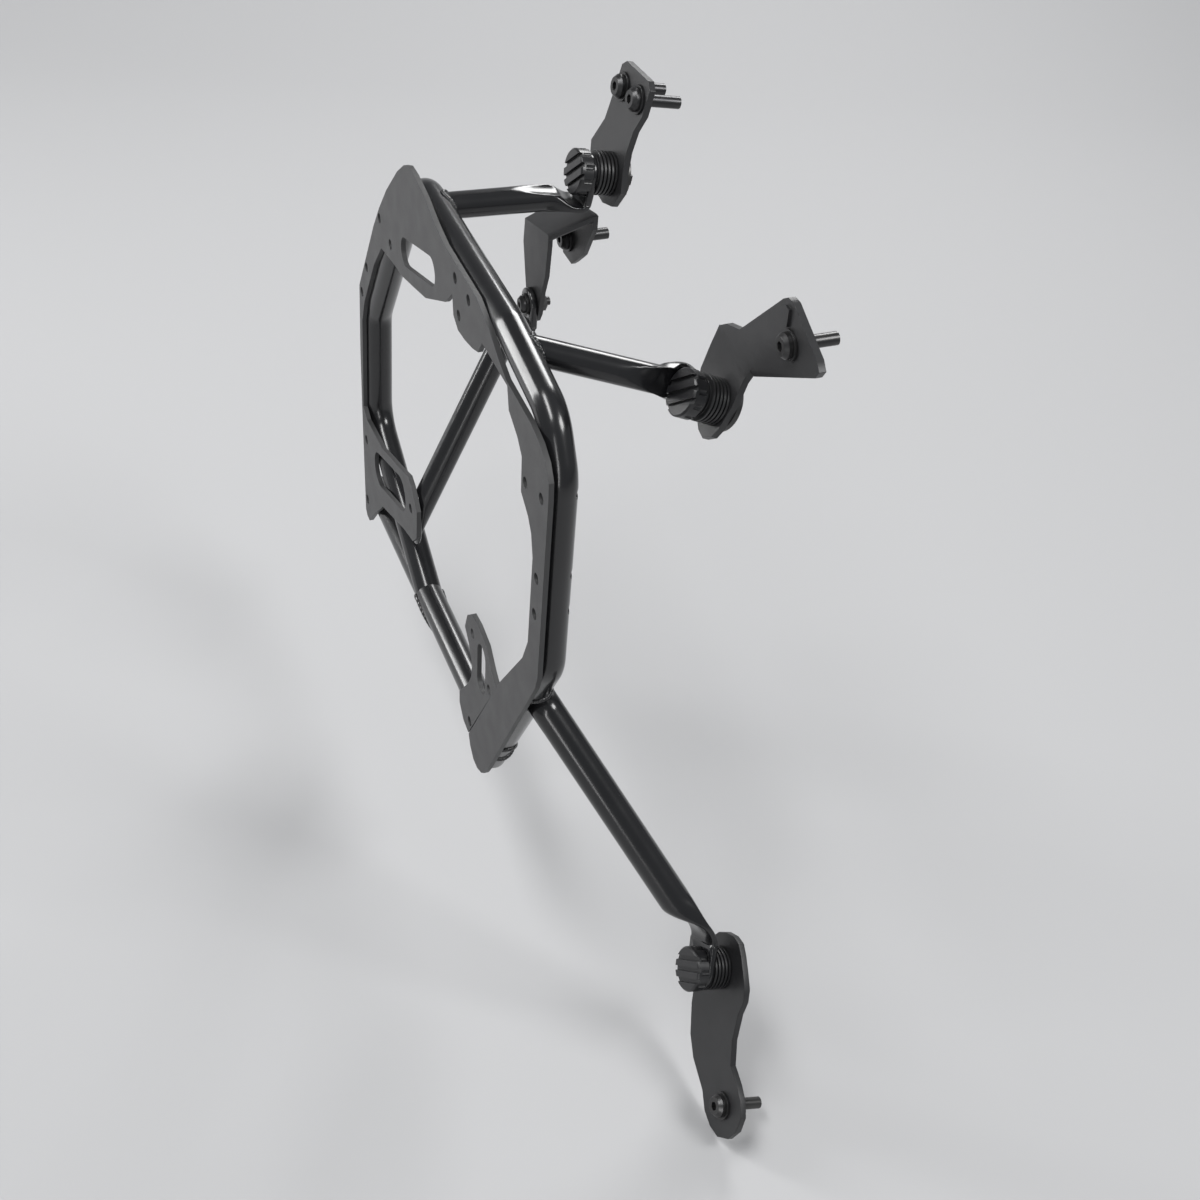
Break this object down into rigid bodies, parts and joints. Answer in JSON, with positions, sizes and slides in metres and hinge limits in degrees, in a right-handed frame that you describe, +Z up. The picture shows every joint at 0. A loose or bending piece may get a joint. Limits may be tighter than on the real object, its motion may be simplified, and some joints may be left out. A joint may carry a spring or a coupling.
{
  "type": "pannier frame",
  "caption": "Tube ring with sheet plates that carries a side case on a motorcycle, held by arms with quarter turn locks and folded brackets.",
  "frame": {"origin": "middle of the upper row of case holes, on the outboard face of the plates", "axes": "+X towards the front of the vehicle, +Y inboard towards the vehicle and square to the plates, +Z up"},
  "size_m": [0.5205, 0.1511, 0.5171],
  "materials": {
    "tube_paint": "satin black powder coat on steel tube",
    "plate_paint": "fine textured black powder coat on steel sheet",
    "bracket_paint": "fine textured black powder coat on steel sheet",
    "lock_plastic": "moulded black plastic with a soft sheen",
    "collar_plastic": "ribbed black plastic",
    "fastener": "black zinc plated steel"
  },
  "bodies": {
    "carrier": {"ring_tube": "tube_paint", "bottom_tube": "tube_paint", "face_plate": "plate_paint", "front_foot_plate": "plate_paint", "rear_upper_arm": "tube_paint", "front_upper_arm": "tube_paint", "lower_arm": "tube_paint", "rear_brace": "tube_paint", "rear_lock_collar": "collar_plastic", "front_lock_collar": "collar_plastic", "lower_lock_collar": "collar_plastic", "rear_lock_keeper": "fastener", "front_lock_keeper": "fastener", "lower_lock_keeper": "fastener", "rear_bracket": "bracket_paint", "front_bracket": "bracket_paint", "lower_bracket": "bracket_paint", "brace_bracket": "bracket_paint", "bracket_bolts": "fastener", "bracket_washers": "fastener", "brace_bolt": "fastener", "brace_washer": "fastener", "brace_nut": "fastener"},
    "rear_lock": {"rear_lock_head": "lock_plastic"},
    "front_lock": {"front_lock_head": "lock_plastic"},
    "lower_lock": {"lower_lock_head": "lock_plastic"}
  },
  "joints": [
    {"name": "rear_lock_turn", "type": "hinge", "parent": "carrier", "child": "rear_lock", "pos_m": [-0.064, 0.092, 0.0715], "axis": [0, 0.9848, -0.1736], "range_deg": [0, 90]},
    {"name": "front_lock_turn", "type": "hinge", "parent": "carrier", "child": "front_lock", "pos_m": [0.1201, 0.088, 0.0362], "axis": [0, 0.9063, -0.4226], "range_deg": [0, 90]},
    {"name": "lower_lock_turn", "type": "hinge", "parent": "carrier", "child": "lower_lock", "pos_m": [0.233, 0.08, -0.302], "axis": [0, 0.9563, -0.2924], "range_deg": [0, 90]}
  ]
}
